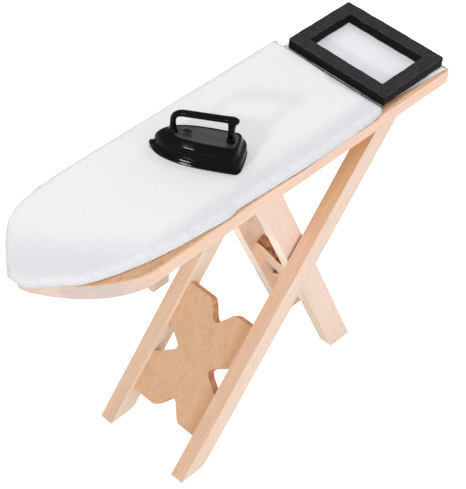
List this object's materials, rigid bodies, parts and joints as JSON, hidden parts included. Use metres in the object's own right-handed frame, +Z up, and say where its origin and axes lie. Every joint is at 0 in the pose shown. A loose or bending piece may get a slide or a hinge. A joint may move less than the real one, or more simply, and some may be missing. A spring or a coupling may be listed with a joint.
{
  "type": "dollhouse ironing board",
  "caption": "Dollhouse ironing board with crossed folding wooden legs, a cloth cover, a black iron rest and a lift-off toy iron.",
  "frame": {"origin": "on the floor, below the middle of the whole object's box", "axes": "+Z up, X along the board with the rounded nose towards -X and the iron rest towards +X, Y across the board"},
  "size_m": [0.1032, 0.0311, 0.0886],
  "materials": {
    "bare_wood": "raw sanded pale wood, fine straight grain",
    "panel_wood": "raw thin wood sheet, tan, with browned cut edges",
    "cover_cloth": "white fine plain weave stretched over thin padding",
    "pad_cloth": "white fine plain weave, flat",
    "black_paint": "matt black paint over slightly rough wood",
    "pin_steel": "dull steel wire",
    "iron_enamel": "gloss black enamel on small cast metal"
  },
  "bodies": {
    "board": {"board_top": "bare_wood", "cloth_cover": "cover_cloth", "rest_pad": "pad_cloth", "iron_rest_frame": "black_paint", "nose_cleat": "bare_wood", "hinge_batten": "bare_wood", "hinge_rod": "pin_steel"},
    "outer_legs": {"outer_leg_near": "bare_wood", "outer_leg_far": "bare_wood", "outer_x_panel": "panel_wood"},
    "inner_legs": {"inner_leg_near": "bare_wood", "inner_leg_far": "bare_wood", "inner_x_panel": "panel_wood", "pivot_pin_near": "pin_steel", "pivot_pin_far": "pin_steel"},
    "iron": {"iron_sole": "iron_enamel", "iron_shell": "iron_enamel", "iron_handle": "iron_enamel", "iron_dial": "iron_enamel"}
  },
  "joints": [
    {"name": "outer_legs_fold", "type": "hinge", "parent": "board", "child": "outer_legs", "pos_m": [0.0357, 0, 0.0692], "axis": [0, 1, 0], "range_deg": [0, 41]},
    {"name": "inner_legs_fold", "type": "hinge", "parent": "outer_legs", "child": "inner_legs", "pos_m": [0.0153, 0, 0.0428], "axis": [0, -1, 0], "range_deg": [0, 97.5]},
    {"name": "iron_lift", "type": "slide", "parent": "board", "child": "iron", "axis": [0, 0, 1], "range_m": [0, 0.03]}
  ],
  "couplings": [
    {"joint": "inner_legs_fold", "follows": "outer_legs_fold", "ratio": 2.37}
  ]
}
